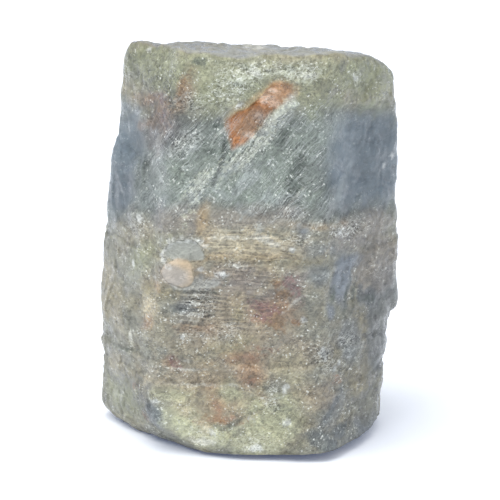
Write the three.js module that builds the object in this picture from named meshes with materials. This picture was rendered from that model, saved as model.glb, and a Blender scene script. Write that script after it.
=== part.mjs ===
// Raw sapphire: a stubby barrel-shaped crystal of corundum, standing on its broken base.
//
// The stone is one solid. Six prism faces lean in above and below a waist, a tilted basal parting
// closes the top, and breaks take off some of the corners. Growth ledges, lumps, pits, a diagonal
// pocket and two seated grains are raised on, or sunk into, that barrel.
//
// Millimetres. +Z is up, the crystal's c axis is close to Z, and -Y is the front. Azimuths are in
// degrees, counted from +X towards +Y. The origin is under the middle of the stone, at its foot.

import * as THREE from 'three';
import { ImprovedNoise } from 'three/addons/math/ImprovedNoise.js';
import { mergeVertices } from 'three/addons/utils/BufferGeometryUtils.js';

// ---------------------------------------------------------------- driving dimensions

const ACROSS_CORNERS = 20.6; // of the regular hexagon at the waist
const TOP_HEIGHT = 26.2; // of the basal parting, on the axis
const APOTHEM = (ACROSS_CORNERS / 2) * Math.cos(Math.PI / 6);

// The prism faces. Offset is how far a face stands outside the regular hexagon, and waist is the
// height where it stands out most. Upper and lower say how many degrees it leans in from there.
// Columns is how many columns of the mesh the face takes.
const PRISM_FACES = [
  { name: 'front', azimuth: 265.5, offset: 0, waist: 12, upper: 3, lower: 0.5, columns: 19 },
  { name: 'front right', azimuth: 325.5, offset: 0.05, waist: 13, upper: 1, lower: 0.3, columns: 16 },
  { name: 'back right', azimuth: 25.5, offset: 0.05, waist: 13, upper: 1, lower: 4.6, columns: 12 },
  { name: 'back', azimuth: 85.5, offset: -0.2, waist: 12, upper: 3, lower: 1.5, columns: 12 },
  { name: 'back left', azimuth: 145.5, offset: 0.57, waist: 9.5, upper: 6, lower: 0, columns: 12 },
  { name: 'front left', azimuth: 205.5, offset: 0.57, waist: 9.5, upper: 6, lower: 0, columns: 15 },
];

// Broken corners. Azimuth and rise aim the break's outward normal, and reach is how far the break
// lies from the middle of the stone.
const MIDDLE_HEIGHT = TOP_HEIGHT / 2;
const BREAKS = [
  { name: 'right heel', azimuth: 350, rise: -35, reach: 14.35 },
  { name: 'front right heel', azimuth: 300, rise: -62, reach: 16.5 },
  { name: 'front left heel', azimuth: 232, rise: -52, reach: 15.45 },
  { name: 'left heel', azimuth: 190, rise: -60, reach: 16.0 },
  { name: 'back heel', azimuth: 100, rise: -58, reach: 17.0 },
  { name: 'left shoulder', azimuth: 176, rise: 32, reach: 14.75 },
  { name: 'right shoulder', azimuth: 352, rise: 46, reach: 15.55 },
  { name: 'right lower corner', azimuth: 356, rise: -5, reach: 9.85 },
  { name: 'right upper corner', azimuth: 356, rise: 8, reach: 11.32 },
];

// The top is a parting plane that falls away to the back, and a slope at the back right.
const TOP_PLANES = [
  { name: 'parting', azimuth: 74, slope: 5.5, height: TOP_HEIGHT },
  { name: 'back right slope', azimuth: 42, slope: 16, height: TOP_HEIGHT + 1.1 },
];

// Growth ledges, from the lowest up. Each is a line round the stone, through [azimuth, height, step]
// knots. The stone just below the line stands a step prouder than the stone just above it, and
// a negative step is an overhang.
const LEDGES = [
  {
    name: 'heel ledge',
    knots: [
      [10, 3.3, 0.1], [60, 3.8, 0.25], [115, 3.0, 0], [170, 3.5, 0.15], [205, 4.4, 0],
      [234, 4.9, 0.26], [266, 4.9, 0.2], [300, 4.3, 0], [340, 3.4, -0.08],
    ],
  },
  {
    name: 'low ledge',
    knots: [
      [25, 8.3, -0.3], [70, 6.4, 0], [120, 7.3, 0.3], [165, 8.1, -0.05], [205, 8.0, 0],
      [240, 6.5, 0.22], [285, 6.4, 0.18], [312, 7.2, 0], [352, 8.5, -0.42],
    ],
  },
  {
    name: 'girdle ledge',
    knots: [
      [20, 16.1, 0.25], [60, 14.9, 0.1], [100, 16.6, 0.4], [145, 15.1, 0.2], [180, 14.1, 0.15],
      [205, 15.7, 0.2], [235, 16.3, 0.1], [251, 16.9, 0.28], [288, 16.1, 0.2], [325, 15.9, 0.42],
      [352, 15.4, 0.2],
    ],
  },
  {
    name: 'crown ledge',
    knots: [
      [25, 22.2, -0.3], [60, 23.4, 0], [95, 22.3, -0.35], [140, 23.3, 0], [176, 22.9, -0.08],
      [213, 21.9, -0.12], [254, 23.4, -0.1], [272, 23.2, 0], [303, 23.9, -0.4], [327, 23.1, -0.42],
      [350, 21.8, 0.1],
    ],
  },
];

// Single features of the side. Each is an oval of a given length and width, [long, wide], with its
// middle at an azimuth and a height, [azimuth, height], and its long axis turned up from the
// horizontal. Rise is how far it stands out, and flat is the level share of it, before its edge falls.
const FEATURES = [
  { name: 'pocket', at: [271.6, 23.1], turn: 45, size: [5.2, 1.9], rise: -0.5, flat: 0.45 },
  { name: 'groove top', at: [258.3, 21.5], turn: 86, size: [2.8, 0.9], rise: -0.3, flat: 0 },
  { name: 'groove', at: [255.2, 19.4], turn: 72, size: [2.6, 0.9], rise: -0.25, flat: 0 },
  { name: 'pale grain', at: [240.0, 12.6], turn: -15, size: [2.5, 1.9], rise: 0.4, flat: 0.3 },
  { name: 'lens chip', at: [240.8, 14.2], turn: 0, size: [3.2, 1.7], rise: -0.3, flat: 0.5 },
  { name: 'white grain', at: [297.5, 8.2], turn: 60, size: [2.2, 1.6], rise: 0.32, flat: 0.3 },
  { name: 'rusty lens', at: [258, 4.0], turn: 24, size: [3.4, 1.3], rise: -0.3, flat: 0.4 },
  { name: 'front toe', at: [283, 2.1], turn: 12, size: [5.4, 2.8], rise: 0.3, flat: 0.3 },
  { name: 'front brow', at: [272, 25.6], turn: 4, size: [6.5, 1.8], rise: 0.28, flat: 0.3 },
  { name: 'right hollow', at: [318, 19.6], turn: 80, size: [5.5, 4.2], rise: -0.22, flat: 0.4 },
  { name: 'right dimple', at: [317, 10.6], turn: 20, size: [3.0, 1.6], rise: -0.3, flat: 0.2 },
  { name: 'left hollow', at: [196, 18.6], turn: 75, size: [6.0, 3.4], rise: -0.25, flat: 0.4 },
  { name: 'left dent', at: [213, 9.9], turn: 40, size: [2.4, 1.5], rise: -0.25, flat: 0.2 },
  { name: 'left boss', at: [186, 8.6], turn: 60, size: [4.0, 2.4], rise: 0.25, flat: 0.2 },
  { name: 'back chip', at: [70, 18.9], turn: 32, size: [6.4, 3.4], rise: -0.5, flat: 0.6 },
  { name: 'back pocket', at: [132, 12.1], turn: -38, size: [4.2, 1.7], rise: -0.45, flat: 0.4 },
  { name: 'back boss', at: [104, 9.0], turn: 15, size: [4.6, 2.8], rise: 0.35, flat: 0.2 },
  { name: 'back right chip', at: [28, 12.6], turn: -62, size: [4.8, 2.2], rise: -0.35, flat: 0.5 },
  { name: 'back right boss', at: [40, 5.6], turn: 0, size: [4.0, 2.2], rise: 0.3, flat: 0.2 },
  { name: 'back grain', at: [84, 13.9], turn: 25, size: [2.4, 1.8], rise: 0.35, flat: 0.3 },
];

// The mesh: columns run up the stone, and rows run round it.
const BASE_ROWS = 6;
const ROWS_BETWEEN_LEDGES = [7, 3, 14, 9, 5]; // from the foot, up over each ledge, to the rim
const TOP_ROWS = 7;

// ---------------------------------------------------------------- small helpers

const radians = THREE.MathUtils.degToRad;
const smooth = THREE.MathUtils.smoothstep;
const noise = new ImprovedNoise();

// Signed noise of about one unit, in lumps of the given size in millimetres.
function lumps(x, y, z, size) {
  return noise.noise(x / size + 11.3, y / size + 5.7, z / size + 2.9);
}

// The shorter way round from one azimuth to another, in degrees.
function turnBetween(from, to) {
  return THREE.MathUtils.euclideanModulo(to - from + 180, 360) - 180;
}

// ---------------------------------------------------------------- the barrel

const EDGE_SHARPNESS = 34; // a higher power leaves crisper edges between the faces

// Distance from the axis to one prism face, along an azimuth and at a height.
function faceRadius(face, azimuth, z) {
  const facing = Math.cos(radians(turnBetween(face.azimuth, azimuth)));
  if (facing < 0.05) return Infinity;
  const lean = z > face.waist ? face.upper : face.lower;
  const inset = Math.abs(z - face.waist) * Math.tan(radians(lean));
  return (APOTHEM + face.offset - inset) / facing;
}

function breakRadius(corner, azimuth, z) {
  const rise = radians(corner.rise);
  const facing = Math.cos(rise) * Math.cos(radians(turnBetween(corner.azimuth, azimuth)));
  if (facing < 0.02) return Infinity;
  return (corner.reach - Math.sin(rise) * (z - MIDDLE_HEIGHT)) / facing;
}

// The power mean of the planes' distances rounds the edges where they meet.
function barrelRadius(azimuth, z) {
  const reaches = [
    ...PRISM_FACES.map((face) => faceRadius(face, azimuth, z)),
    ...BREAKS.map((corner) => breakRadius(corner, azimuth, z)),
  ];
  const sum = reaches.reduce((total, reach) => total + reach ** -EDGE_SHARPNESS, 0);
  return sum ** (-1 / EDGE_SHARPNESS);
}

function topHeight(x, y) {
  const heights = TOP_PLANES.map(({ azimuth, slope, height }) => {
    const out = x * Math.cos(radians(azimuth)) + y * Math.sin(radians(azimuth));
    return height - out * Math.tan(radians(slope));
  });
  return Math.min(...heights);
}

// ---------------------------------------------------------------- ledges and features

const HALF_LEDGE = 0.14; // half the height over which a ledge steps in or out
const LEDGE_FADE = 4.5; // how far above and below its line a ledge still shows
const LEDGE_WOBBLE = 0.4;

// Height and step of a ledge at an azimuth, eased from knot to knot, with a small wobble in height.
function ledgeAt(ledge, azimuth) {
  const { knots } = ledge;
  const before = knots.findLast((knot) => knot[0] <= azimuth) ?? knots[knots.length - 1];
  const after = knots.find((knot) => knot[0] > azimuth) ?? knots[0];
  const span = THREE.MathUtils.euclideanModulo(after[0] - before[0], 360);
  const gone = THREE.MathUtils.euclideanModulo(azimuth - before[0], 360);
  const share = smooth(gone, 0, span);
  const x = 10 * Math.cos(radians(azimuth));
  const y = 10 * Math.sin(radians(azimuth));
  const wobble = LEDGE_WOBBLE * lumps(x, y, knots[0][1], 1.9);
  return {
    height: THREE.MathUtils.lerp(before[1], after[1], share) + wobble,
    step: THREE.MathUtils.lerp(before[2], after[2], share),
  };
}

function ledgeRelief(azimuth, z) {
  let relief = 0;
  for (const ledge of LEDGES) {
    const { height, step } = ledgeAt(ledge, azimuth);
    const above = smooth(z, height - HALF_LEDGE, height + HALF_LEDGE);
    const fade = Math.exp(-Math.abs(z - height) / LEDGE_FADE);
    relief += step * (0.5 - above) * fade;
  }
  return relief;
}

function featureRelief({ at, turn, size, rise, flat }, azimuth, z, radius) {
  const round = radians(turnBetween(at[0], azimuth)) * radius;
  const up = z - at[1];
  const cos = Math.cos(radians(turn));
  const sin = Math.sin(radians(turn));
  const along = (round * cos + up * sin) / (size[0] / 2);
  const across = (up * cos - round * sin) / (size[1] / 2);
  return rise * (1 - smooth(Math.hypot(along, across), flat, 1));
}

// ---------------------------------------------------------------- pits, knobs and lumps

// Pits and knobs too many to name are strewn over the side, each kind from its own seed.
const STREWN = [
  { name: 'pits', seed: 41, count: 30, rise: [-0.15, -0.35] },
  { name: 'knobs', seed: 8, count: 24, rise: [0.12, 0.28] },
];

function strew({ seed, count, rise }) {
  let state = seed;
  const between = (low, high) => {
    state = (state * 16807) % 2147483647;
    return THREE.MathUtils.lerp(low, high, state / 2147483647);
  };
  return Array.from({ length: count }, () => ({
    at: [between(0, 360), between(1, 25)],
    turn: between(-90, 90),
    size: [between(1.8, 3.4), between(1.3, 2)],
    rise: between(...rise),
    flat: 0.1,
  }));
}

const EVERY_FEATURE = [...FEATURES, ...STREWN.flatMap(strew)];

// Crust above the crown ledge and below the girdle ledge is lumpy. The band between them is smooth.
const [, , GIRDLE_LEDGE, CROWN_LEDGE] = LEDGES;
const CRUST_LUMPS = 0.34;
const SMOOTH_BAND_LUMPS = 0.14;

function lumpRelief(azimuth, z, radius) {
  const x = radius * Math.cos(radians(azimuth));
  const y = radius * Math.sin(radians(azimuth));
  const girdle = ledgeAt(GIRDLE_LEDGE, azimuth).height;
  const crown = ledgeAt(CROWN_LEDGE, azimuth).height;
  const band = smooth(z, girdle - 0.5, girdle + 1) * (1 - smooth(z, crown - 1, crown + 0.5));
  const size = THREE.MathUtils.lerp(CRUST_LUMPS, SMOOTH_BAND_LUMPS, band);
  return size * (lumps(x, y, z, 5.5) * 0.7 + lumps(x, y, z, 2.3) * 0.6);
}

function sideRadius(azimuth, z) {
  const barrel = barrelRadius(azimuth, z);
  const features = EVERY_FEATURE.reduce(
    (relief, feature) => relief + featureRelief(feature, azimuth, z, barrel),
    0,
  );
  return barrel + ledgeRelief(azimuth, z) + features + lumpRelief(azimuth, z, barrel);
}

// ---------------------------------------------------------------- rim, top and foot

const RIM_WEAR = 0.4; // how far the worn top edge and foot edge draw in
const WORN_HEIGHT = 0.9;
const BROW = { azimuth: 298, reach: 42, rise: 0.45 }; // a lip of crust along the front right rim
const TERRACES = { facing: 200, drop: 0.3, edges: [-4, 2.5] }; // steps across the top, and where
const TOP_LUMPS = 0.25;
const FOOT_CHIP = 1.0; // the height of the deepest chips under the foot edge
const FLAT_SHARE = 0.55; // the share of the base's radius that is a flat, broken plane

// The height where the side at an azimuth runs into the top, with the brow and small lumps.
function rimHeight(azimuth) {
  const x = Math.cos(radians(azimuth));
  const y = Math.sin(radians(azimuth));
  let z = TOP_HEIGHT;
  for (let attempt = 0; attempt < 12; attempt++) {
    const r = barrelRadius(azimuth, z);
    z = (z + topHeight(r * x, r * y)) / 2;
  }
  const brow = 1 - smooth(Math.abs(turnBetween(BROW.azimuth, azimuth)), BROW.reach / 5, BROW.reach);
  return z + BROW.rise * brow + TOP_LUMPS * lumps(10 * x, 10 * y, 40, 2.6);
}

function topRelief(x, y) {
  const facing = radians(TERRACES.facing);
  const across = x * Math.cos(facing) + y * Math.sin(facing) + lumps(x, y, 70, 3);
  const steps = TERRACES.edges.map((edge) => 0.5 - smooth(across, edge - 0.3, edge + 0.3));
  return TERRACES.drop * (steps[0] + steps[1]) + TOP_LUMPS * lumps(x, y, 60, 2.8);
}

// Chips hollow the base upwards, but only outside its flat middle. Share is how far out a point lies.
function footHeight(x, y, share) {
  return FOOT_CHIP * Math.max(0, lumps(x, y, 20, 3.6)) * smooth(share, FLAT_SHARE, 1);
}

// ---------------------------------------------------------------- the grid

// Even rows between the foot, the ledges and the rim, and a close pair of rows at each ledge.
function rowHeights(azimuth, foot, rim) {
  const stops = LEDGES.map((ledge) => ledgeAt(ledge, azimuth).height);
  const lows = [foot, ...stops.map((height) => height + HALF_LEDGE)];
  const highs = [...stops.map((height) => height - HALF_LEDGE), rim];
  return ROWS_BETWEEN_LEDGES.flatMap((count, gap) =>
    Array.from({ length: count + 1 }, (_, row) =>
      THREE.MathUtils.lerp(lows[gap], highs[gap], row / count),
    ),
  );
}

// One column of points, from the middle of the foot, up the side, to the middle of the top.
function column(azimuth) {
  const x = Math.cos(radians(azimuth));
  const y = Math.sin(radians(azimuth));
  const footRadius = barrelRadius(azimuth, 0);
  const foot = footHeight(footRadius * x, footRadius * y, 1);
  const rim = rimHeight(azimuth);
  const side = rowHeights(azimuth, foot, rim).map((z) => {
    const fromEdge = Math.min(z - foot, rim - z);
    const worn = RIM_WEAR * Math.max(0, 1 - fromEdge / WORN_HEIGHT) ** 2;
    const r = sideRadius(azimuth, z) - worn;
    return new THREE.Vector3(r * x, r * y, z);
  });
  const footEdge = side[0];
  const base = Array.from({ length: BASE_ROWS }, (_, row) => {
    const share = row / BASE_ROWS;
    const px = footEdge.x * share;
    const py = footEdge.y * share;
    return new THREE.Vector3(px, py, footHeight(px, py, share));
  });
  const rimEdge = side[side.length - 1];
  const top = Array.from({ length: TOP_ROWS }, (_, row) => {
    const share = 1 - (row + 1) / TOP_ROWS;
    const px = rimEdge.x * share;
    const py = rimEdge.y * share;
    const open = topHeight(px, py) + topRelief(px, py);
    return new THREE.Vector3(px, py, THREE.MathUtils.lerp(open, rim, share ** 6));
  });
  return [...base, ...side, ...top];
}

// A lathe has the grid's faces, closed on the axis at both ends. Its points move to the columns.
function gridGeometry() {
  // Each face's columns start on its edge with the face before it.
  const columns = PRISM_FACES.flatMap((face) =>
    Array.from({ length: face.columns }, (_, c) => {
      const azimuth = face.azimuth - 30 + (60 * c) / face.columns;
      return column(THREE.MathUtils.euclideanModulo(azimuth, 360));
    }),
  );
  const rows = columns[0].length;
  const profile = Array.from({ length: rows }, (_, row) => new THREE.Vector2(1, row));
  const geometry = new THREE.LatheGeometry(profile, columns.length);
  const position = geometry.attributes.position;
  [...columns, columns[0]].forEach((points, c) => {
    points.forEach(({ x, y, z }, row) => position.setXYZ(c * rows + row, x, y, z));
  });
  geometry.deleteAttribute('normal');
  geometry.deleteAttribute('uv');
  return mergeVertices(geometry, 1e-4);
}

// Where the rows close on the axis, one triangle of each pair has no area and is left out.
function withoutEmptyTriangles(geometry) {
  const index = [];
  for (let i = 0; i < geometry.index.count; i += 3) {
    const [a, b, c] = [0, 1, 2].map((corner) => geometry.index.getX(i + corner));
    if (a !== b && b !== c && c !== a) index.push(a, b, c);
  }
  geometry.setIndex(index);
  return geometry;
}

const geometry = withoutEmptyTriangles(gridGeometry());
geometry.computeBoundingBox();
const { min, max } = geometry.boundingBox;
geometry.translate(-(min.x + max.x) / 2, -(min.y + max.y) / 2, -min.z);
geometry.computeVertexNormals();

const sapphire = new THREE.MeshStandardMaterial({ color: 0x9a9d92, roughness: 0.5, metalness: 0 });
const crystal = new THREE.Mesh(geometry, sapphire);
crystal.name = 'sapphire_crystal';

const part = new THREE.Group();
part.add(crystal);

export default part;
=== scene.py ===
# A raw sapphire: one barrel-shaped crystal of corundum, 27 mm tall, standing on its broken base.
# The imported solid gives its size, faces and ledges. This script gives it its fine surface and its
# colours, and stands it on a white sheet in soft light. Metres, +Z is up and -Y is the front.

import math

import bmesh
import bpy
import numpy as np
from mathutils import Matrix, Vector, noise


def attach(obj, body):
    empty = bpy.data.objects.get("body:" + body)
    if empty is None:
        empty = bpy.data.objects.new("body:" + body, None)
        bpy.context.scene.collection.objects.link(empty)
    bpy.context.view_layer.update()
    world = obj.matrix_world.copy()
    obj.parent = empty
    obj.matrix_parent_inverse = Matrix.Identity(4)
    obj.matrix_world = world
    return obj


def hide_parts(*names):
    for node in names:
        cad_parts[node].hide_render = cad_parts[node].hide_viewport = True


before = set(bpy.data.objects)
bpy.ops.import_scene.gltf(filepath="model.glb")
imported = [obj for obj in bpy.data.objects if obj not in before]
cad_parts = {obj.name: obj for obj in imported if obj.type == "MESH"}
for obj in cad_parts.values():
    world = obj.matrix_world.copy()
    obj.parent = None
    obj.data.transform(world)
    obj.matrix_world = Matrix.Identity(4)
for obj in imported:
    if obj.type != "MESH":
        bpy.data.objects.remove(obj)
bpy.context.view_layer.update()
scene = bpy.context.scene

# ---------------------------------------------------------------- the crystal: its skin
# The stone is one grown piece of corundum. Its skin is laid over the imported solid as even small
# quads, in millimetres, and eased so that faces, ledges and large lumps stay and facets go.

MM = 0.001
QUAD = 0.166  # side of one quad
EASING_ROUNDS = 5
HALFWAY = 0.5  # how far each round moves a point towards the mean of its neighbours

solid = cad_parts["sapphire_crystal"]
rough_mesh = solid.data.copy()
rough_mesh.transform(Matrix.Scale(1 / MM, 4))
welded = bmesh.new()
welded.from_mesh(rough_mesh)
bmesh.ops.remove_doubles(welded, verts=welded.verts, dist=1e-4)
welded.to_mesh(rough_mesh)
welded.free()
rough = bpy.data.objects.new("rough", rough_mesh)
scene.collection.objects.link(rough)
even_quads = rough.modifiers.new("even quads", "REMESH")
even_quads.mode = "VOXEL"
even_quads.voxel_size = QUAD
evaluated = rough.evaluated_get(bpy.context.evaluated_depsgraph_get())
skin = bpy.data.meshes.new_from_object(evaluated)
skin.name = "sapphire_skin"
bpy.data.objects.remove(rough)

edges = np.zeros(len(skin.edges) * 2, np.int32)
skin.edges.foreach_get("vertices", edges)
edges = edges.reshape(-1, 2)
neighbour_counts = np.bincount(edges.ravel(), minlength=len(skin.vertices))


def around(values):
    """The mean of each point's neighbours, for an array with one row a point."""
    columns = values.reshape(len(values), -1)
    means = np.zeros(columns.shape)
    for c in range(columns.shape[1]):
        for near, far in ((0, 1), (1, 0)):
            weights = columns[edges[:, far], c]
            means[:, c] += np.bincount(edges[:, near], weights, len(columns))
        means[:, c] /= neighbour_counts
    return means.reshape(values.shape)


def read_points():
    flat = np.zeros(len(skin.vertices) * 3, np.float32)
    skin.vertices.foreach_get("co", flat)
    return flat.reshape(-1, 3).astype(float)


def read_normals():
    flat = np.zeros(len(skin.vertices) * 3, np.float32)
    skin.vertex_normals.foreach_get("vector", flat)
    return flat.reshape(-1, 3).astype(float)


def write_points(values):
    skin.vertices.foreach_set("co", values.astype(np.float32).ravel())
    skin.update()


points = read_points()
for _ in range(EASING_ROUNDS):
    points += HALFWAY * (around(points) - points)
write_points(points)

# Marks are placed by their azimuth round the crystal's own axis, in degrees from +X towards +Y,
# and their height in millimetres. A field is a distance in millimetres, positive inside a mark.

AXIS = (0.42, 0.14)  # where the crystal's axis crosses the base
USUAL_REACH = 9.0  # from the axis out to the skin
azimuths = np.degrees(np.arctan2(points[:, 1] - AXIS[1], points[:, 0] - AXIS[0])) % 360
reaches = np.hypot(points[:, 1] - AXIS[1], points[:, 0] - AXIS[0])
heights = points[:, 2].copy()


def turned_from(azimuth):
    """How many degrees each point lies round from an azimuth, from -180 to 180."""
    return (azimuths - azimuth + 180) % 360 - 180


def smooth(share):
    """Rounds off both ends of a share that runs from 0 to 1."""
    return share * share * (3 - 2 * share)


def patch(azimuth, height, long, wide, turn=0.0):
    """The field of an oval, with its long axis turned up from the horizontal."""
    across = np.radians(turned_from(azimuth)) * reaches
    up = heights - height
    cos, sin = math.cos(math.radians(turn)), math.sin(math.radians(turn))
    along = (across * cos + up * sin) / (long / 2)
    over = (up * cos - across * sin) / (wide / 2)
    return (1 - np.hypot(along, over)) * min(long, wide) / 2


def outline(*corners):
    """The field of a patch with straight sides, from its (azimuth, height) corners in order."""
    middle = corners[0][0]
    across = np.radians(turned_from(middle)) * USUAL_REACH
    spots = [(math.radians(azimuth - middle) * USUAL_REACH, height) for azimuth, height in corners]
    nearest = np.full(len(points), 1e3)
    inside = np.zeros(len(points), bool)
    for (ax, az), (bx, bz) in zip(spots, spots[1:] + spots[:1]):
        share = (across - ax) * (bx - ax) + (heights - az) * (bz - az)
        share = np.clip(share / ((bx - ax) ** 2 + (bz - az) ** 2), 0, 1)
        gap = np.hypot(across - ax - share * (bx - ax), heights - az - share * (bz - az))
        nearest = np.minimum(nearest, gap)
        if az != bz:
            side = ax + (bx - ax) * (heights - az) / (bz - az)
            inside ^= ((az > heights) != (bz > heights)) & (across < side)
    return np.where(inside, nearest, -nearest)


def any_of(patches):
    """The field of several patches together. One that starts with a pair is an outline."""
    return np.max([outline(*one) if type(one[0]) is tuple else patch(*one) for one in patches], axis=0)


def ease(field, edge=0.3):
    """0 outside a field and 1 inside, over an edge of that width in millimetres."""
    return smooth(np.clip(field / edge + 0.5, 0, 1))


def ledge_line(*knots):
    """The height of a ledge all the way round, eased between (azimuth, height) knots."""
    ring = [(knots[-1][0] - 360, knots[-1][1]), *knots, (knots[0][0] + 360, knots[0][1])]
    line = np.zeros(len(azimuths))
    for (low, low_height), (high, high_height) in zip(ring, ring[1:]):
        share = np.clip((azimuths - low) / (high - low), 0, 1)
        between = low_height + (high_height - low_height) * smooth(share)
        line = np.where((azimuths >= low) & (azimuths < high), between, line)
    return line


def cloud(size, seed):
    """Signed noise in lumps of one size."""
    return np.array([noise.noise(spot) for spot in (points / size + seed).tolist()])


MIDDLE = (0.5, 0.5, 0.5)  # random vectors and colours run from 0 to 1, so this is the mean one
OWN_CELL = 41  # puts each grain in a cell of its own, so that each has its own tilt


def facets(size, seed):
    """Grains with a flat face each, tilted at random. Height in millimetres, about zero."""
    found = np.zeros(len(points))
    for i, spot in enumerate((points / size + seed).tolist()):
        grain = noise.voronoi(spot)[1][0]
        tilt = noise.cell_vector(grain * OWN_CELL) - Vector(MIDDLE)
        found[i] = (Vector(spot) - grain).dot(tilt)
    return found * size


RISER_START, RISER_SHARE = 0.35, 0.3  # where the steep part of each growth layer lies


def terraces(values, drop):
    """Turns a smooth height into level treads, a drop apart, with steep risers between."""
    treads = np.floor(values / drop)
    climbed = np.clip((values / drop - treads - RISER_START) / RISER_SHARE, 0, 1)
    return (treads + smooth(climbed)) * drop


# The smooth band lies between the girdle ledge and the crown ledge. Crust covers the rest.
girdle = ledge_line(
    (20, 16.1), (60, 14.9), (100, 16.6), (145, 15.1), (180, 14.1), (205, 15.7), (235, 16.3),
    (251, 16.9), (288, 16.1), (325, 15.9), (352, 15.4),
)
crown = ledge_line(
    (25, 22.2), (60, 23.4), (95, 22.3), (140, 23.3), (176, 22.9), (213, 21.9), (254, 23.4),
    (272, 23.2), (303, 23.9), (327, 23.1), (350, 21.8),
)
band = np.minimum(heights - girdle, crown - heights)

# ---------------------------------------------------------------- the crystal: its relief
# Growth left a sugary crust above and below the band, silky ridges in the band, and fine level
# steps across the front. Breakage left a pocket, a clear chip and small pits.

POCKET = [(
    (257.3, 22.8), (262.8, 23.4), (268.1, 23.6), (273.6, 24.4), (277.8, 25.2), (282.3, 25.4),
    (285.7, 25.2), (285.6, 24.7), (281.7, 24.0), (275.6, 23.1), (265.4, 21.3), (260, 20.9), (258, 21.9),
)]
GROOVE = [(
    (256.3, 22.2), (257.6, 21.5), (257.8, 20.7), (255.8, 19.7), (252.5, 18.4), (251.3, 18.5),
    (254.1, 19.7), (255.7, 20.8),
)]
TAN_LENS = [(
    (249.5, 15.6), (253.2, 15.9), (263.9, 16.2), (273.4, 16.1), (282.8, 15.3), (287.2, 14.4),
    (288.2, 13.6), (273.4, 13.4), (259.8, 13.6), (249.6, 13.6),
)]
FELDSPAR = [(
    (234.3, 13.2), (238.4, 13.6), (242.4, 13.5), (244.2, 13.1), (245.2, 12.3), (244.3, 11.9),
    (241.3, 11.7), (237.2, 11.9), (234.3, 12.2), (232.2, 12.7),
)]
CLEAR_CHIP = [(
    (232.5, 13.9), (234, 14.4), (237.8, 14.75), (243.1, 14.9), (246.9, 14.5), (249.2, 13.8),
    (248.3, 13.5), (243.2, 13.4), (236.7, 13.5), (233.2, 13.7),
)]
BARRED_STEPS = [(
    (239.8, 11.6), (253.5, 11.7), (256.4, 10.9), (253, 9.6), (249.4, 8.7), (238.3, 8.6), (239.4, 10.1),
)]
FINE_STEPS = [*BARRED_STEPS, (266, 12.6, 5.6, 2.2), *TAN_LENS, (262, 10.2, 5, 3)]
LOW_LENS = [(
    (236.4, 5.9), (242, 6.1), (249.3, 5.9), (252.5, 5.3), (247.5, 5.1), (241.9, 5.05), (236.5, 5.2),
)]

# Relief is a height in millimetres, added along the normals. The crust is the roughest.
silk = ease(band, 0.9)
crust = 1 - silk
stepped = ease(any_of(FINE_STEPS), 0.8)
smooth_spots = ease(any_of(FELDSPAR + CLEAR_CHIP), 0.3)
sugar = crust * (1 - 0.6 * stepped) * (1 - smooth_spots)

relief = sugar * (0.12 * facets(0.75, 3.0) + 0.03 * cloud(0.4, 7.0))
relief += silk * (0.02 * cloud(0.35, 2.0) + 0.05 * facets(1.3, 8.0))
relief += (1 - smooth_spots) * (terraces(0.15 * cloud(1.9, 9.0), 0.07) + 0.04)

# Thin shelves run round the crust: each stands out by its step and fades away above and below.
SHELVES = [
    (0.14, [(0, 13.4), (240, 13.35), (262, 13.4), (290, 13.1), (320, 13.3)]),
    (0.16, [(0, 6.4), (120, 5.2), (230, 6.4), (285, 6.3), (320, 7.4)]),
    (0.14, [(0, 4.6), (120, 3.7), (230, 5.1), (262, 5.0), (300, 4.2)]),
]
SHELF_FADE = 0.8
for step, knots in SHELVES:
    over = heights - ledge_line(*knots) - 0.3 * cloud(2.4, 21.0)
    relief += step * (0.5 - ease(over, 0.2)) * np.exp(-np.abs(over) / SHELF_FADE)

relief -= ease(any_of(POCKET), 0.35) * (0.22 + 0.3 * facets(0.5, 5.0))
relief -= 0.16 * ease(any_of(GROOVE), 0.3)
relief += 0.10 * ease(any_of(FELDSPAR), 0.5)
relief += 0.03 * ease(any_of(CLEAR_CHIP), 0.6)
relief += 0.06 * ease(any_of(LOW_LENS), 0.3)
relief -= relief.mean()

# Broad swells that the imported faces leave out.
SWELLS = [
    (0.28, (187, 16.6, 8, 6)), (-0.2, (192, 13.3, 5, 2)), (0.2, (196, 6.6, 8, 5)),
    (0.2, (350, 7.2, 8, 4)),
]
SWELL_EDGE = 2.0
for amount, place in SWELLS:
    relief += amount * ease(patch(*place), SWELL_EDGE)

# The clear chip and the grain of feldspar below it are smooth.
WEAR_ROUNDS = 30
points = read_points()
worn = ease(patch(239, 13.35, 4.6, 2.0), 0.6)[:, None]
for _ in range(WEAR_ROUNDS):
    points += HALFWAY * worn * (around(points) - points)
write_points(points)
points = read_points() + read_normals() * relief[:, None]

# The top is not quite level: its left corner stands a little proud and its back right is worn.
points[:, 2] += 0.34 * ease(patch(198, 27.0, 9, 4), 2.4) - 0.24 * ease(patch(62, 27.0, 12, 4), 2.4)
points[:, 2] += 0.28 * ease(patch(253, 26.8, 9, 3), 1.6) - 0.30 * ease(patch(276, 27.0, 4.2, 2.4), 1.4)

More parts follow.
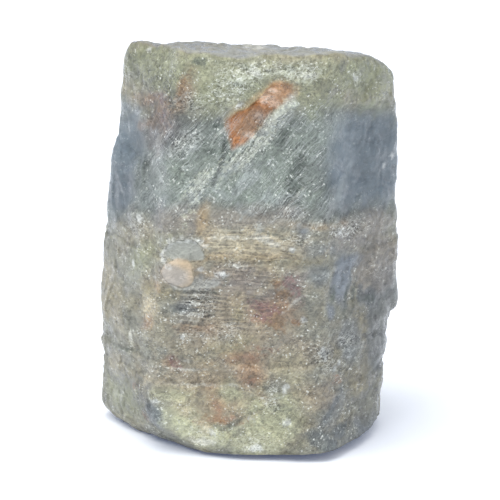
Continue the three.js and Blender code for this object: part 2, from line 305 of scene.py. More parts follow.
# The foot is broken a little hollow: its front and right edges stand clear of what it rests on.
# Each lift is how high the edge stands at an azimuth. The edge is found just above the foot.
LIFTS = (
    (0, 0.6), (60, 0), (180, 0), (236, 0.16), (262, 0.36), (280, 0.5), (300, 0.72), (325, 0.78),
    (345, 0.95),
)
RIM_WIDTH = 3.4  # how far in from the edge the lift reaches
EDGE_LOW, EDGE_HIGH, EDGE_STEP, EDGE_REACH = 0.3, 0.9, 4, 3  # millimetres, then degrees
low_side = (heights > EDGE_LOW) & (heights < EDGE_HIGH)
around_foot = np.arange(0, 360, EDGE_STEP)
near_foot = [low_side & (np.abs(turned_from(angle)) < EDGE_REACH) for angle in around_foot]
rim_reach = [reaches[near].max() for near in near_foot]
inset = np.interp(azimuths, around_foot, rim_reach, period=360) - reaches
lift = np.interp(azimuths, *zip(*LIFTS), period=360) * np.clip(1 - inset / RIM_WIDTH, 0, 1)
points[:, 2] = np.maximum(points[:, 2], lift)

# Just above the foot the crust spreads out at the front and right, and is cut back at the left.
toe = 0.5 * ease(patch(274, 0.4, 10, 4.4), 2.4) + 0.45 * ease(patch(290, 0.1, 17, 2.6), 1.6)
toe += 0.35 * ease(patch(311, 0.3, 6, 1.6), 1.2) - 0.5 * ease(patch(226, 0.5, 9, 3), 2.0)
points[:, 0] += toe * np.cos(np.radians(azimuths))
points[:, 1] += toe * np.sin(np.radians(azimuths))
write_points(points)

# Painted shade darkens the hollows and a painted highlight lightens the raised edges. Hollow is
# above zero in a hollow, and near 1 in the sharpest ones.
HOLLOW_ROUNDS = 2
HOLLOW_GAIN = 30
inward = (around(points) - points) * read_normals()
hollow = inward.sum(axis=1)
for _ in range(HOLLOW_ROUNDS):
    hollow = HALFWAY * (hollow + around(hollow))
hollow *= HOLLOW_GAIN

# ---------------------------------------------------------------- the crystal: its colours
# Iron and titanium colour it in zones: blue in the band, green in the crown and the foot, and a
# tan crust between. Rust fills the pocket and cracks, and pale grains of feldspar sit in the skin.

FIELD_LIMIT = 3  # no mark reaches further than this past its edge


def keep(name, values):
    """Stores one number a point under a name that the material reads."""
    stored = skin.attributes.new(name, "FLOAT", "POINT")
    values = np.clip(values, -FIELD_LIMIT, FIELD_LIMIT)
    stored.data.foreach_set("value", values.astype(np.float32))


keep("hollow", hollow)
keep("band", band)
keep("stepped", stepped)
keep("barred", ease(any_of(BARRED_STEPS), 0.8))

# Sides is 0 across the front and 1 on the faces that turn away from it, which show less detail.
FRONT_MIDDLE, FRONT_HALF, TURN_AWAY = 268, 54, 14  # degrees
keep("sides", ease(np.abs(turned_from(FRONT_MIDDLE)) - FRONT_HALF, TURN_AWAY))

# The skin laid out flat, in millimetres, so that threads rise the same way on every side: once
# round the front from corner to corner, once round the back, and straight across the two ends.
# It runs partly as an arc and partly as a flat face, so threads stay long up to the corners.
# Seam is 1 where two such pieces meet, in a ragged line, and threads fade out there.
ARC_SHARE = 0.35
FLAT_REACH = 9.5
BACK_SHIFT = 5  # keeps the noise on the back apart from that on the front
LEFT_CORNER, SEAM_WANDER = 175.5, 12  # degrees
across_x, across_y = points[:, 0] - AXIS[0], points[:, 1] - AXIS[1]
at_back = (azimuths + SEAM_WANDER * cloud(1.2, 31.0) - LEFT_CORNER) % 360 > 180
front_way = np.arctan2(across_x, -across_y)
back_way = np.arctan2(-across_x, across_y) + BACK_SHIFT
way_round = np.where(at_back, back_way, front_way)
as_flat = np.sin(np.where(at_back, way_round - BACK_SHIFT, way_round))
laid_across = FLAT_REACH * (ARC_SHARE * way_round + (1 - ARC_SHARE) * as_flat)
laid_flat = np.stack([laid_across, 0 * heights, heights], axis=1)
LEVEL_FROM = 0.72  # a surface whose normal rises this much counts as half level
SEAM_GAIN = 6
level = ease(np.abs(around(around(read_normals()))[:, 2]) - LEVEL_FROM, 0.2)
ends = level > 0.5
seam = np.zeros(len(points))
for one_side in (ends, at_back):
    blurred = around(around(around(one_side.astype(float))))
    seam = np.maximum(seam, np.clip(SEAM_GAIN * blurred * (1 - blurred), 0, 1))
keep("seam", seam)
laid_flat[ends] = np.stack([across_x, 0 * across_x, across_y], axis=1)[ends]
keep("level", level)
stored = skin.attributes.new("laid_flat", "FLOAT_VECTOR", "POINT")
stored.data.foreach_set("vector", laid_flat.astype(np.float32).ravel())

# Each stain: colour, strength, how soft its edge is, how ragged, and its patches. Most are the
# stone's own colours; parts of white, pale_lines and dark are painted light, as noted at each.
STAINS = {
    "teal_glow": ((0.243, 0.283, 0.228), 0.8, 2.4, 1.0, [
        (247, 19.4, 6, 4.6, 20), (268, 19.4, 8, 5.5), (289, 21.5, 3, 2.4, 20),
        (296, 17.4, 4, 2, 20), (60, 18.5, 8, 5, 20), (120, 20.0, 7, 4),
    ]),
    "blue": ((0.121, 0.156, 0.180), 0.9, 2.4, 1.0, [
        (330, 19.6, 9.5, 7.0), (345, 19.0, 7, 6), (312, 18.8, 4, 5), (184, 18.4, 4.6, 7.0),
        (194, 20.8, 4, 3), (191, 17.0, 4, 4), (20, 19.5, 8, 5.5), (150, 19.0, 7, 5),
        (92, 20.5, 5, 3.4), (100, 8.0, 4, 2.4, 60),
    ]),
    "slate": ((0.165, 0.190, 0.200), 0.65, 1.0, 0.6, [
        (228.3, 16.4, 2.2, 1.2, 58), (297.4, 14.2, 4.4, 1.2, -9), (229.5, 2.7, 2, 1.8, 76),
        (302.6, 3.1, 3.4, 1.8, 41), (294.6, 12.7, 1.8, 1.6), (314.5, 7.5, 3.4, 2.4, -73),
        (309, 12.3, 2.6, 2.6), (316, 0.9, 7, 1.8), (345, 8, 6, 8), (10, 10, 6, 8), (75, 6, 5, 5),
    ]),
    "rosy_grey": ((0.272, 0.241, 0.202), 0.7, 1.0, 0.6, [
        (238, 15.9, 5.5, 2.6, 20), (268, 16.5, 9, 1.5), (324, 14.8, 7, 2.4), (336, 12, 6, 4),
        (60, 14, 6, 2),
    ]),
    "amber": ((0.365, 0.268, 0.160), 0.5, 2.0, 0.8, [
        (262, 9.8, 7, 4.6), (248, 5.2, 7, 2.6), (258, 3.8, 4, 2), (268, 6.4, 4, 3),
        (262, 12.6, 6, 1.6),
    ]),
    "crown_green": ((0.30, 0.31, 0.190), 0.7, 1.8, 0.8, [
        (255, 25.4, 12, 3.4), (285, 25.9, 9, 2.4), (225, 25.6, 9, 2.6), (320, 25.6, 6, 2),
        (200, 2.4, 6, 2.4), (215, 12.8, 3, 2, 21),
    ]),
    "green": ((0.245, 0.255, 0.142), 0.75, 1.8, 1.0, [
        (194.5, 25.6, 7, 2.4, 7), (220, 25.0, 6.2, 1.8, 15), (252.6, 24.5, 3.2, 1.9, 38),
        (263.8, 25.3, 3, 1.9), (334.9, 24.4, 6.4, 3.3, -9), (315.5, 25.5, 5.6, 1.9, -8),
        (289.1, 24.7, 2.6, 0.9), (297.3, 23.9, 3.8, 0.8), (231.5, 14.7, 1.7, 0.6, 12),
        (350, 24.6, 4, 2.6), (40, 24.9, 9, 3), (110, 24.9, 9, 3), (150, 24.6, 8, 3),
        (30, 2.2, 7, 3), (110, 2.6, 7, 3),
    ]),
    "lime": ((0.46, 0.465, 0.29), 0.8, 1.6, 0.9, [
        (241.6, 2.2, 2.9, 2.0, -38), (253.4, 1.5, 3.6, 1.4), (276.7, 2.9, 3.8, 3.6, 14),
        (270.4, 1.2, 4.4, 1.4), (284.8, 6.5, 1.8, 1.7), (259.6, 4.5, 1.5, 0.9),
        (237, 4.3, 2.2, 0.9, 5), (150, 2.0, 6, 2.4), (60, 3, 4, 2),
    ]),
    "mauve": ((0.20, 0.172, 0.155), 0.7, 1.2, 0.8, [
        (285.9, 12, 2, 1.4, 77), (222.4, 21.7, 5.5, 3.0, 12), (264, 12.2, 4.2, 1.4),
        (278.6, 10.7, 3, 2.4), (261.9, 12.8, 2.8, 1.1), (38, 11, 3, 2), (212, 23.6, 2.6, 1.2),
        (130, 15.6, 5, 1.8, 10),
    ]),
    "warm": ((0.325, 0.262, 0.180), 0.6, 1.2, 0.7, [
        (281.8, 10.0, 2.4, 2.1), (234.9, 12.0, 5, 1.6, 9), (249.3, 7.7, 2.8, 1.1),
        (277.7, 8.3, 1.8, 0.8), (298, 4.3, 2.6, 2.0, -27), (280.2, 8.6, 2.8, 0.9), (286, 7.2, 3, 3),
        (90, 13.0, 5, 2.4), (10, 13.4, 4, 1.6),
    ]),
    "olive": ((0.318, 0.278, 0.160), 0.7, 0.8, 0.5, [
        (248.7, 16.3, 2.0, 0.65, 82), (258.1, 14.1, 3, 0.9, 9), (282.6, 13.6, 2.4, 0.5),
        (231.7, 11.2, 2.8, 1.2, 16), (222.9, 10.9, 1.4, 0.9, 9), (268.3, 13.9, 4.2, 0.5),
        (293.5, 13.6, 1.8, 0.35), (262.3, 10, 0.9, 0.6, 89), (259.6, 7.8, 3.3, 1.3, 18),
        (155, 12, 4, 1.4, 12), (70, 12, 3, 1.2, -20),
    ]),
    "ochre": ((0.36, 0.255, 0.135), 0.7, 0.5, 0.2, [
        (248.2, 16.2, 2.4, 0.8, 84), (249.6, 14.9, 1.5, 0.6, 60), (256, 13.9, 2.4, 0.5, 8),
        (273, 13.9, 3, 0.4), (229.6, 11.5, 0.9, 0.8), (294, 15.9, 3.2, 0.4, -4),
        (226, 8.9, 0.9, 0.9),
    ]),
    "cream": ((0.50, 0.43, 0.29), 0.7, 0.7, 0.4, [
        (272, 15.0, 6, 1.3), (268, 14.3, 7, 0.9), (283, 14.7, 2.4, 0.9),
        (256.4, 15.2, 2.2, 1.0, -8), (263.9, 14.9, 3.2, 0.9), (224.2, 10.0, 2.2, 1.3, 14),
        (241.8, 3.1, 1.0, 0.6, -60), (247.4, 2.3, 1.3, 0.5, -40), (239.2, 13.4, 1.0, 0.35, -6),
        (227.9, 5, 1.9, 0.4, 15), (252.2, 14.6, 1.1, 0.6), (271, 15.5, 3, 0.7),
        (88, 13.6, 3.2, 1.1),
    ]),
    "rust_haze": ((0.325, 0.197, 0.106), 0.68, 0.8, 0.5, [
        (239.6, 24.5, 2.4, 1.1, 70), (212.6, 23.6, 3.2, 0.5, 9), (227, 23.0, 3, 2.2, 30),
        (277, 10.2, 2.2, 1.5), (208.7, 21.8, 2.5, 0.7, 12), (268.3, 6.0, 2.3, 1.7, 79),
        (263.8, 6.9, 1.8, 0.6, 7), (251.9, 4.9, 0.6, 0.4, 13), (274.6, 4.3, 1.0, 0.45, -20),
        (254.2, 3.7, 1.7, 0.5, -65), (258, 2.7, 2.0, 0.4, 8), (236.1, 6.4, 0.9, 0.6, -27),
        (245.3, 8.9, 1.9, 0.55), (273.3, 9.7, 0.9, 0.8), (223.1, 8.7, 1.1, 0.7, 26),
        (309.7, 15.7, 0.7, 0.5), (283.5, 17, 0.6, 0.5), (132, 12.1, 3.4, 1.4, -38),
        (60, 7, 2.4, 1.2, 30),
    ]),
    "rust": ((0.270, 0.135, 0.080), 0.55, 0.38, 0.3, [
        (269.6, 6.9, 0.7, 0.4), (269.1, 5.4, 0.8, 0.3), (255, 3.1, 1.2, 0.24, -65),
        (272.5, 7.6, 1.2, 0.24, -8), (268.3, 7.0, 1.3, 0.26, 10), (257.5, 2.7, 1.6, 0.2, 8),
        (271.7, 9.6, 0.7, 0.35), (286.6, 9.4, 0.3, 0.3), (306.3, 5.1, 0.85, 0.55, -24),
        (220.5, 2.1, 1.2, 0.7, 5), (214.5, 4, 0.6, 0.4, 29), (128, 12.3, 1.6, 0.6, -38),
        (62, 7.4, 0.9, 0.5),
    ]),
    "brown": ((0.228, 0.135, 0.062), 0.8, 0.38, 0.3, [
        (280, 9.6, 1.9, 0.8, -79), (281.9, 11.4, 1.1, 0.7), (279.6, 12.2, 0.7, 0.6),
        (286.6, 9.4, 0.35, 0.3), (277, 9.4, 0.9, 0.6), (258, 2.6, 1.6, 0.22, -10),
        (238.6, 24.6, 1.7, 0.5, 70), (282.4, 10.4, 0.8, 0.5),
    ]),
    "wine": ((0.200, 0.105, 0.095), 0.74, 0.38, 0.4, [
        (284, 12.3, 0.9, 0.6, 40), (286.4, 11.7, 1.2, 0.5, -60), (272.6, 10.6, 1.2, 0.6, -12),
        (276.2, 10.2, 1.5, 0.7, 25), (274.2, 9.7, 0.7, 0.5), (227.4, 22.9, 1.0, 0.6, 30),
        (224.6, 23.9, 0.9, 0.5), (226.2, 22.4, 0.7, 0.4), (237, 6.55, 0.75, 0.5, -36),
        (239, 6.2, 0.6, 0.3, -20),
    ]),
    "blue_violet": ((0.190, 0.216, 0.242), 0.8, 0.6, 0.3, [
        (289.4, 15.6, 0.6, 0.5), (302.2, 9.9, 1.1, 0.7, -57), (308.6, 11.5, 2.7, 1.0, -83),
        (325.1, 0.8, 1.4, 0.5, -21), (308.4, 12.0, 2.2, 3.2), (314, 12.9, 3, 1.2), (95, 9, 0.8, 2),
    ]),
    "dark_slate": ((0.112, 0.130, 0.132), 0.78, 0.38, 0.14, [
        (229.5, 2.9, 1.6, 1.3), (296, 1.3, 2.6, 1.2, -34), (302.6, 3.4, 2.6, 0.6, 41),
        (306, 1.6, 2, 0.8), (240.5, 10.2, 1.4, 0.8), (322.2, 10.4, 0.7, 1.4, -10),
        (328.5, 10.1, 2.0, 1.2),
    ]),
    "brown_bevel": ((0.345, 0.265, 0.130), 0.8, 0.6, 0.25, [(
        (255.1, 22.7), (261.4, 23.8), (268.2, 24.2), (273.5, 24.9), (276.9, 25.4), (282.7, 25.6),
        (286.1, 25.3), (282.4, 25.2), (277.8, 25.0), (273.6, 24.2), (268.1, 23.5), (262.8, 23.3),
        (257.3, 22.6),
    )]),
    "pocket": ((0.565, 0.198, 0.030), 0.88, 0.5, 0.22, POCKET),
    "pocket_grey": ((0.46, 0.31, 0.18), 0.64, 0.7, 0.4, [
        (269.4, 22.7, 1.9, 1.4, 30), (282.6, 24.8, 1.9, 1.3, 30), (265.2, 22.2, 0.8, 0.7),
        (277.2, 24.6, 1.6, 0.7, 30),
    ]),
    "pink": ((0.82, 0.62, 0.47), 0.65, 0.3, 0.15, [
        (276.2, 24.2, 0.9, 0.55), (279.2, 23.9, 0.8, 0.5), (274.2, 23.9, 0.5, 0.4),
        (278, 24.7, 0.6, 0.4), (267.8, 21.9, 0.6, 0.45), (272.6, 23.1, 0.7, 0.5),
    ]),
    "silver": ((0.39, 0.425, 0.405), 0.5, 0.6, 0.9, [
        (
            (260, 20.7), (269.1, 21.1), (279.6, 22.4), (288.1, 23.9), (285.9, 24.5), (281.7, 23.9),
            (273.7, 22.7), (266.3, 21.5), (258.6, 20.9),
        ),
        (262.6, 20.0, 2.4, 1.0, 30), (264.5, 18.6, 3.0, 0.9, 40), (300, 17.2, 3.4, 0.6, 35),
        (258.6, 17.8, 3.4, 0.5, -38), (279, 17.6, 2.4, 0.8, -30), (246, 12.0, 2.6, 0.5),
        (246.8, 17.9, 1.0, 2.2, -30),
    ]),
    # Dark cracks and inclusions, and painted shade in thin lines under the ledges of the steps.
    "dark": ((0.055, 0.075, 0.055), 0.72, 0.35, 0.16, [
        (283.3, 22.1, 0.75, 0.55, 23), (285.4, 22.7, 0.5, 0.35, 45), (281.2, 21.5, 0.8, 0.6, 26),
        (273.5, 20.8, 0.3, 0.3), (288, 19.6, 0.7, 0.7), (286.7, 18.8, 2.1, 1.1, 82),
        (288.5, 20.1, 1.2, 0.7, 70), (290.8, 18.5, 0.25, 0.2), (290.3, 20, 0.6, 0.35, 88),
        (253.8, 22.6, 0.8, 0.55, 32), (250.7, 20.8, 0.6, 0.35), (233, 21.3, 0.8, 0.45, 11),
        (210.2, 19.1, 1.0, 0.45, 10), (265.4, 26.3, 0.9, 0.5), (284.6, 26.4, 0.8, 0.45),
        (245.3, 26.4, 0.9, 0.45, -9), (262, 25.2, 0.5, 0.3), (277, 26.2, 0.5, 0.3),
        (303.3, 11.2, 0.5, 0.8), (279.2, 15.3, 1.3, 0.22, -14), (288.3, 14.8, 0.8, 0.18, 49),
        (285.5, 17.4, 0.35, 0.35), (257.6, 12.4, 0.45, 0.35), (263.3, 2.6, 2.0, 0.2, 32),
        (254.5, 2.2, 1.6, 0.2, -14), (262, 4.1, 0.5, 0.16, 30), (219.8, 4.6, 0.6, 0.2, 9),
        (207.4, 6.3, 2.8, 0.18, 7), (331.2, 9.8, 0.6, 0.7), (110, 19, 2.2, 0.7, 70),
        (50, 9, 1.8, 0.3, 60), (302.8, 11.1, 0.7, 1.2), (312.2, 10.8, 0.45, 2.2, -14),
        (317.8, 10.7, 0.45, 1.8, -14), (327.6, 10.0, 0.9, 0.7), (246.4, 11.4, 2.2, 0.16),
        (247.2, 10.9, 2.0, 0.16), (245.5, 10, 2.0, 0.16), *GROOVE,
    ]),
    "clear_chip": ((0.445, 0.455, 0.395), 0.8, 0.2, 0.06, CLEAR_CHIP),
    "feldspar_rim": ((0.61, 0.475, 0.315), 0.9, 0.16, 0.05, FELDSPAR),
    "feldspar": ((0.425, 0.39, 0.34), 0.85, 0.4, 0.1, [(238.0, 12.5, 1.95, 1.4, -10)]),
    # White grains and specks, some of them painted glints, and painted highlights in thin lines along
    # the top rim of the clear chip.
    "white": ((0.72, 0.735, 0.70), 0.65, 0.26, 0.16, [
        (233.9, 14.2, 1.3, 0.16, 42), (239.3, 14.75, 2.0, 0.16, 4), (245, 14.7, 1.2, 0.14, -20),
        (285.4, 14.4, 0.45, 0.36, 8), (208.4, 12.3, 0.5, 0.45, 22), (227.3, 12, 0.6, 0.26),
        (247.5, 12.9, 0.36, 0.34), (235.6, 13.1, 0.5, 0.32), (233, 13.4, 0.46, 0.22, 8),
        (256.4, 12.6, 0.7, 0.4), (212.3, 15.5, 0.55, 0.45, 5), (306.1, 15.2, 0.5, 0.33, -17),
        (289.9, 9.6, 0.32, 0.28), (269.1, 2.8, 0.34, 0.24, -32), (282.7, 2.7, 0.45, 0.45),
        (282.8, 4.9, 0.6, 0.27, 70), (297.6, 7.2, 1.1, 0.5, -62), (303.8, 5.9, 0.5, 0.4, -21),
        (306.5, 6.3, 0.5, 0.33, -78), (313.7, 6.4, 0.42, 0.3, -80), (270.4, 0.9, 0.9, 0.45),
        (252.2, 1.8, 0.66, 0.3, -38), (231.3, 3.7, 0.5, 0.3, 14), (263.2, 23.8, 0.38, 0.28, 30),
        (317.7, 25.3, 0.45, 0.33, -15), (201.8, 26.3, 0.5, 0.3), (233.8, 20.4, 0.35, 0.3),
        (349.2, 19.2, 0.5, 0.4, -67), (343.2, 18.7, 0.4, 0.34, -69), (240.5, 8.3, 0.37, 0.34),
        (270.9, 26.0, 0.9, 0.4, -18), (292.2, 25.8, 1.0, 0.3), (80, 16.4, 0.8, 0.5),
        (100, 5.2, 1.0, 0.7), (25, 15.2, 0.8, 0.5),
    ]),
    "silk_white": ((0.66, 0.68, 0.52), 0.5, 0.3, 0.5, [
        (246.6, 18.7, 2.4, 0.5, 50), (244.0, 17.2, 1.4, 0.4, 70), (268.2, 20.8, 3.6, 0.6, 43),
        (262.5, 20.2, 2.0, 0.5, 30), (270.2, 26.1, 1.2, 0.6, -14), (265.2, 25.6, 1.5, 0.5, 10),
        (284.5, 26.2, 1.6, 0.5), (288.8, 25.8, 1.4, 0.6, -10), (291.5, 26.3, 1.0, 0.3),
        (280, 23.2, 1.8, 0.6, 46),
    ]),
    # Mostly painted highlights along the edges of the steps and ledges and along the top rim of the
    # clear chip.
    "pale_lines": ((0.64, 0.63, 0.55), 0.6, 0.2, 0.12, [
        (276.8, 14.8, 1.7, 0.4, -19), (273.4, 15.1, 1.3, 0.3), (260.5, 15.1, 2.6, 0.2),
        (263.2, 13.2, 0.8, 0.22), (245.2, 11.6, 1.8, 0.22), (246, 11.15, 1.5, 0.22),
        (243.9, 10.6, 1.6, 0.22), (243.1, 9.8, 1.5, 0.22), (241.7, 9.4, 1.0, 0.22),
        (242.6, 6.6, 0.5, 0.16), (210.8, 7.4, 0.9, 0.4, 76), (249.2, 1.1, 1.8, 0.5),
        (311.2, 7.8, 1.3, 0.2, -30), (286.3, 10.8, 0.16, 1.3, -45), (236.3, 24.0, 1.4, 0.16, 40),
        (255.4, 22.1, 0.9, 0.14, 45), (287, 17.8, 1.3, 0.14, 52), (242.5, 6.05, 2.2, 0.14),
        (247, 5.02, 1.8, 0.14), (256.8, 5.0, 1.4, 0.1), (233.6, 14.2, 1.3, 0.2, 48),
        (238.4, 14.8, 1.5, 0.22, 8), (244.4, 14.85, 1.2, 0.2, -18), (232.2, 13.6, 0.5, 0.3, 60),
    ]),
}
OFF_ENDS = 30  # how sharply the stains stop at the level top and foot
for name, (*_, patches) in STAINS.items():
    keep(name, any_of(patches) - OFF_ENDS * np.maximum(level - 0.9, 0))

# The broken top is grey but for its left corner, with one pale spot near its middle.
at_top = heights > 20
left_corner = ease(patch(214, 26.5, 8, 4), 2)
keep("top", np.where(at_top, 6 * level - 3 - 3 * left_corner, -FIELD_LIMIT))
SPOT_WIDE, SPOT_DEEP = 0.9, 2.3  # half sizes, across and from front to back
pale_spot = 0.8 * (1 - np.hypot(across_x / SPOT_WIDE, (across_y - 0.2) / SPOT_DEEP))
keep("top_spot", np.where(at_top, pale_spot, -FIELD_LIMIT))

# Glitter: where the painted glints crowd, on broken grain that would throw back the most light,
# with fewer of them on the level ends.
GLITTER = [
    (268.2, 20.8, 4.0, 1.1, 43), (280.5, 23.1, 2.2, 1.1, 46), (244.9, 18.1, 2.4, 0.7, 57),
    (247, 18.9, 1.2, 0.7), (242.8, 14.6, 1.8, 0.4), (234.3, 14.1, 0.7, 0.5, 54),
    (270.4, 26.1, 3.2, 1.3), (259.3, 25.2, 3.6, 2.4, 32), (252.6, 24.2, 2.2, 1.3),
    (289.3, 26.2, 3.9, 1.2), (319.3, 25.4, 1, 0.7), (261.9, 13.2, 1.4, 0.5),
    (247.2, 10.6, 2.6, 2.1, 8), (245.4, 8.4, 1.9, 0.9), (259.8, 8.8, 2.7, 1.4, 23),
    (298.5, 6.9, 2.4, 1.8, -64), (311.2, 7.6, 2.4, 1.3, -16), (283.1, 17, 1.8, 1.1),
    (288.3, 15, 1.4, 1.0), (270.4, 1.1, 2.2, 1.1), (247.3, 1.4, 2.2, 1.3, 6),
    (277.5, 4.4, 1.8, 1.2, 86), (245, 24.0, 2.2, 1.6, 10), (238.7, 21.2, 2, 1.4, 28),
    (309.9, 15.4, 4.6, 1.5, -11), (206.2, 14.9, 3, 2, 9), (60, 25, 9, 2), (120, 22, 4, 3),
    (20, 12, 5, 4), (90, 4, 6, 3), (150, 14, 4, 3),
]
LEVEL_LOSS = 4
keep("glitter", any_of(GLITTER) - LEVEL_LOSS * level)

# Paler and darker areas: share of brightness, and the patch. Most are the stone's own tone; some
# are painted light, such as the painted highlight along the front rim of the top.
SHADES = [
    (0.06, (262, 25.9, 12, 2.2)), (0.18, (272, 27.1, 18, 1.6)), (0.14, (279.4, 24.3, 2.6, 1.6)),
    (0.10, (263, 15.2, 7, 2.2)), (0.08, (285, 13, 3, 2)), (0.08, (307, 2, 3, 3)),
    (0.26, (252, 24.8, 5, 2.6, 20)), (0.10, (240.7, 18.3, 1.2, 3.6, -40)),
    (0.10, (250, 19.0, 4, 3)), (-0.13, (240, 20, 5, 4)), (-0.10, (336, 12, 7, 6)),
    (-0.08, (322, 15, 5, 4)), (-0.08, (288.6, 7.5, 3, 3)), (0.10, (258, 8.6, 6, 3)),
    (-0.12, (205, 20, 4, 5)), (-0.08, (283, 21.5, 3, 3, 60)), (0.34, (240, 2.2, 4.4, 3)),
    (0.20, (269, 1.4, 6, 2.4)), (-0.14, (318, 5.0, 9, 10)), (-0.10, (345, 8.0, 6, 10)),
    (-0.10, (215, 3.0, 5, 4)), (-0.16, (284, 2.1, 3, 3)), (-0.20, (291, 17.7, 4, 3)),
    (0.08, (262, 15.0, 6, 2)), (-0.06, (262, 4.3, 6, 1.4, 20)), (0.10, (290, 5.0, 3, 4)),
    (-0.06, (198, 12, 5, 6)), (0.12, (282, 18, 4, 4)), (-0.30, (224, 23, 6, 3.4)),
    (-0.14, (206, 25.7, 9, 3.4)), (-0.24, (238, 24.2, 3, 2.4)), (-0.20, (193, 16.4, 5, 4)),
    (0.10, (184, 18.3, 4, 6)), (0.10, (200, 12.2, 7, 6)), (0.08, (264, 12.6, 6, 2)),
    (0.06, (268, 6.1, 3, 3)), (-0.06, (232.8, 16.1, 3, 2)), (0.06, (257.4, 3.6, 4, 2)),
    (-0.32, (223.7, 3.1, 3, 3)), (0.12, (276, 9.2, 3, 2)), (-0.10, (245, 10, 3, 4)),
    (0.12, (262, 10.9, 3, 2)), (0.26, (257.4, 3.6, 3, 1.8)), (0.10, (247.3, 5.7, 3, 1.2)),
    (-0.06, (320, 15, 4, 2.4)), (0.04, (302.6, 23.5, 5, 2)), (0.20, (310.2, 20.6, 4, 4)),
    (0.08, (302.6, 23.5, 3, 2)), (-0.03, (285.2, 19.6, 2, 2)),
]
SHADE_EDGE = 1.6
shade = np.zeros(len(points))
for amount, place in SHADES:
    shade += amount * ease(patch(*place), SHADE_EDGE)
keep("shade", shade)


def add(tree, kind, feeds=(), **options):
    """Adds a shader node, sets its options, and feeds its sockets from values or other nodes."""
    made = tree.nodes.new("ShaderNode" + kind)
    for option, value in options.items():
        setattr(made, option, value)
    for socket, feed in dict(feeds).items():
        if isinstance(feed, bpy.types.NodeSocket):
            tree.links.new(feed, made.inputs[socket])
        else:
            made.inputs[socket].default_value = feed
    return made


def work_out(tree, operation, *values):
    return add(tree, "Math", enumerate(values), operation=operation).outputs[0]


def vector(tree, operation, first, second):
    """Works out a vector from two others, or from one and a scale. A dot product is a number."""
    feeds = {0: first, "Scale" if operation == "SCALE" else 1: second}
    outputs = add(tree, "VectorMath", feeds, operation=operation).outputs
    return outputs["Value" if operation == "DOT_PRODUCT" else "Vector"]


def mix(tree, share, under, over):
    return add(tree, "Mix", {0: share, 6: under, 7: over}, data_type="RGBA").outputs[2]


def ramp(tree, value, low, high, to_low=0.0, to_high=1.0):
    """Eases a value from one range to another, and holds it at both ends."""
    feeds = enumerate((value, low, high, to_low, to_high))
    return add(tree, "MapRange", feeds, interpolation_type="SMOOTHSTEP").outputs[0]


def new_group(name, inputs, outputs):
    tree = bpy.data.node_groups.new(name, "ShaderNodeTree")
    for way, sockets in (("INPUT", inputs), ("OUTPUT", outputs)):
        for label, kind in sockets.items():
            tree.interface.new_socket(label, in_out=way, socket_type="NodeSocket" + kind)
    given = tree.nodes.new("NodeGroupInput").outputs
    made = tree.nodes.new("NodeGroupOutput").inputs
    return tree, given, made


def give_out(tree, made, results):
    for label, result in results.items():
        tree.links.new(result, made[label])


def use_group(tree, group, feeds):
    return add(tree, "Group", feeds, node_tree=group).outputs


def drawn_noise(tree, position, wide, tall, seed, roughness):
    """Noise in lumps as wide and as tall as given, in the unit of the position."""
    size = add(tree, "CombineXYZ", {"X": wide, "Y": wide, "Z": tall}).outputs[0]
    spots = vector(tree, "DIVIDE", position, size)
    feeds = {"Vector": spots, "W": seed, "Scale": 1.0, "Detail": 2.0, "Roughness": roughness}
    return add(tree, "TexNoise", feeds, noise_dimensions="4D").outputs["Fac"]


# Fibres: thin leaves of silk that crop out as threads along one direction on the front, in mm.
# Squiggles are the thin lines along which the same noise passes its middle.
THREAD_EDGE = 0.08
LINE_CORE, LINE_EDGE = 0.01, 0.055
fibres, given, made = new_group(
    "fibres",
    {"Position": "Vector", "Tilt": "Float", "Length": "Float", "Width": "Float", "Seed": "Float",
     "Bare": "Float"},
    {"Threads": "Float", "Squiggles": "Float", "Cloud": "Float"},
)
feeds = {"Vector": given["Position"], "Angle": given["Tilt"]}
laid = add(fibres, "VectorRotate", feeds, rotation_type="Y_AXIS").outputs[0]
cloudy = drawn_noise(fibres, laid, given["Length"], given["Width"], given["Seed"], 0.6)
off_middle = work_out(fibres, "ABSOLUTE", work_out(fibres, "SUBTRACT", cloudy, 0.5))
whole_thread = work_out(fibres, "ADD", given["Bare"], THREAD_EDGE)
give_out(fibres, made, {
    "Threads": ramp(fibres, cloudy, given["Bare"], whole_thread),
    "Squiggles": ramp(fibres, off_middle, LINE_CORE, LINE_EDGE, 1.0, 0.0),
    "Cloud": cloudy,
})

# Stain: lays a colour over another where a field, made ragged by noise, is above zero.
stain, given, made = new_group(
    "stain",
    {"Under": "Color", "Over": "Color", "Field": "Float", "Noise": "Float", "Ragged": "Float",
     "Soft": "Float", "Strength": "Float"},
    {"Color": "Color", "Mask": "Float"},
)
wobble = work_out(stain, "MULTIPLY", work_out(stain, "SUBTRACT", given["Noise"], 0.5), given["Ragged"])
ragged = work_out(stain, "ADD", given["Field"], wobble)
outer = work_out(stain, "MULTIPLY", given["Soft"], -0.5)
inner = work_out(stain, "MULTIPLY", given["Soft"], 0.5)
mask = work_out(stain, "MULTIPLY", ramp(stain, ragged, outer, inner), given["Strength"])
give_out(stain, made, {"Color": mix(stain, mask, given["Under"], given["Over"]), "Mask": mask})

# Facets: grains of one size with a flat face each, tilted at random. Height is in millimetres.
facet_group, given, made = new_group(
    "facets", {"Position": "Vector", "Size": "Float"}, {"Height": "Float", "Chance": "Float"}
)
spot = vector(facet_group, "DIVIDE", given["Position"], given["Size"])
grain = add(facet_group, "TexVoronoi", {"Vector": spot, "Scale": 1.0}).outputs["Position"]
random = add(facet_group, "TexWhiteNoise", {"Vector": grain}).outputs
tilt = vector(facet_group, "SUBTRACT", random["Color"], MIDDLE)
raised = vector(facet_group, "DOT_PRODUCT", vector(facet_group, "SUBTRACT", spot, grain), tilt)
raised = work_out(facet_group, "MULTIPLY", raised, given["Size"])
give_out(facet_group, made, {"Height": raised, "Chance": random["Value"]})

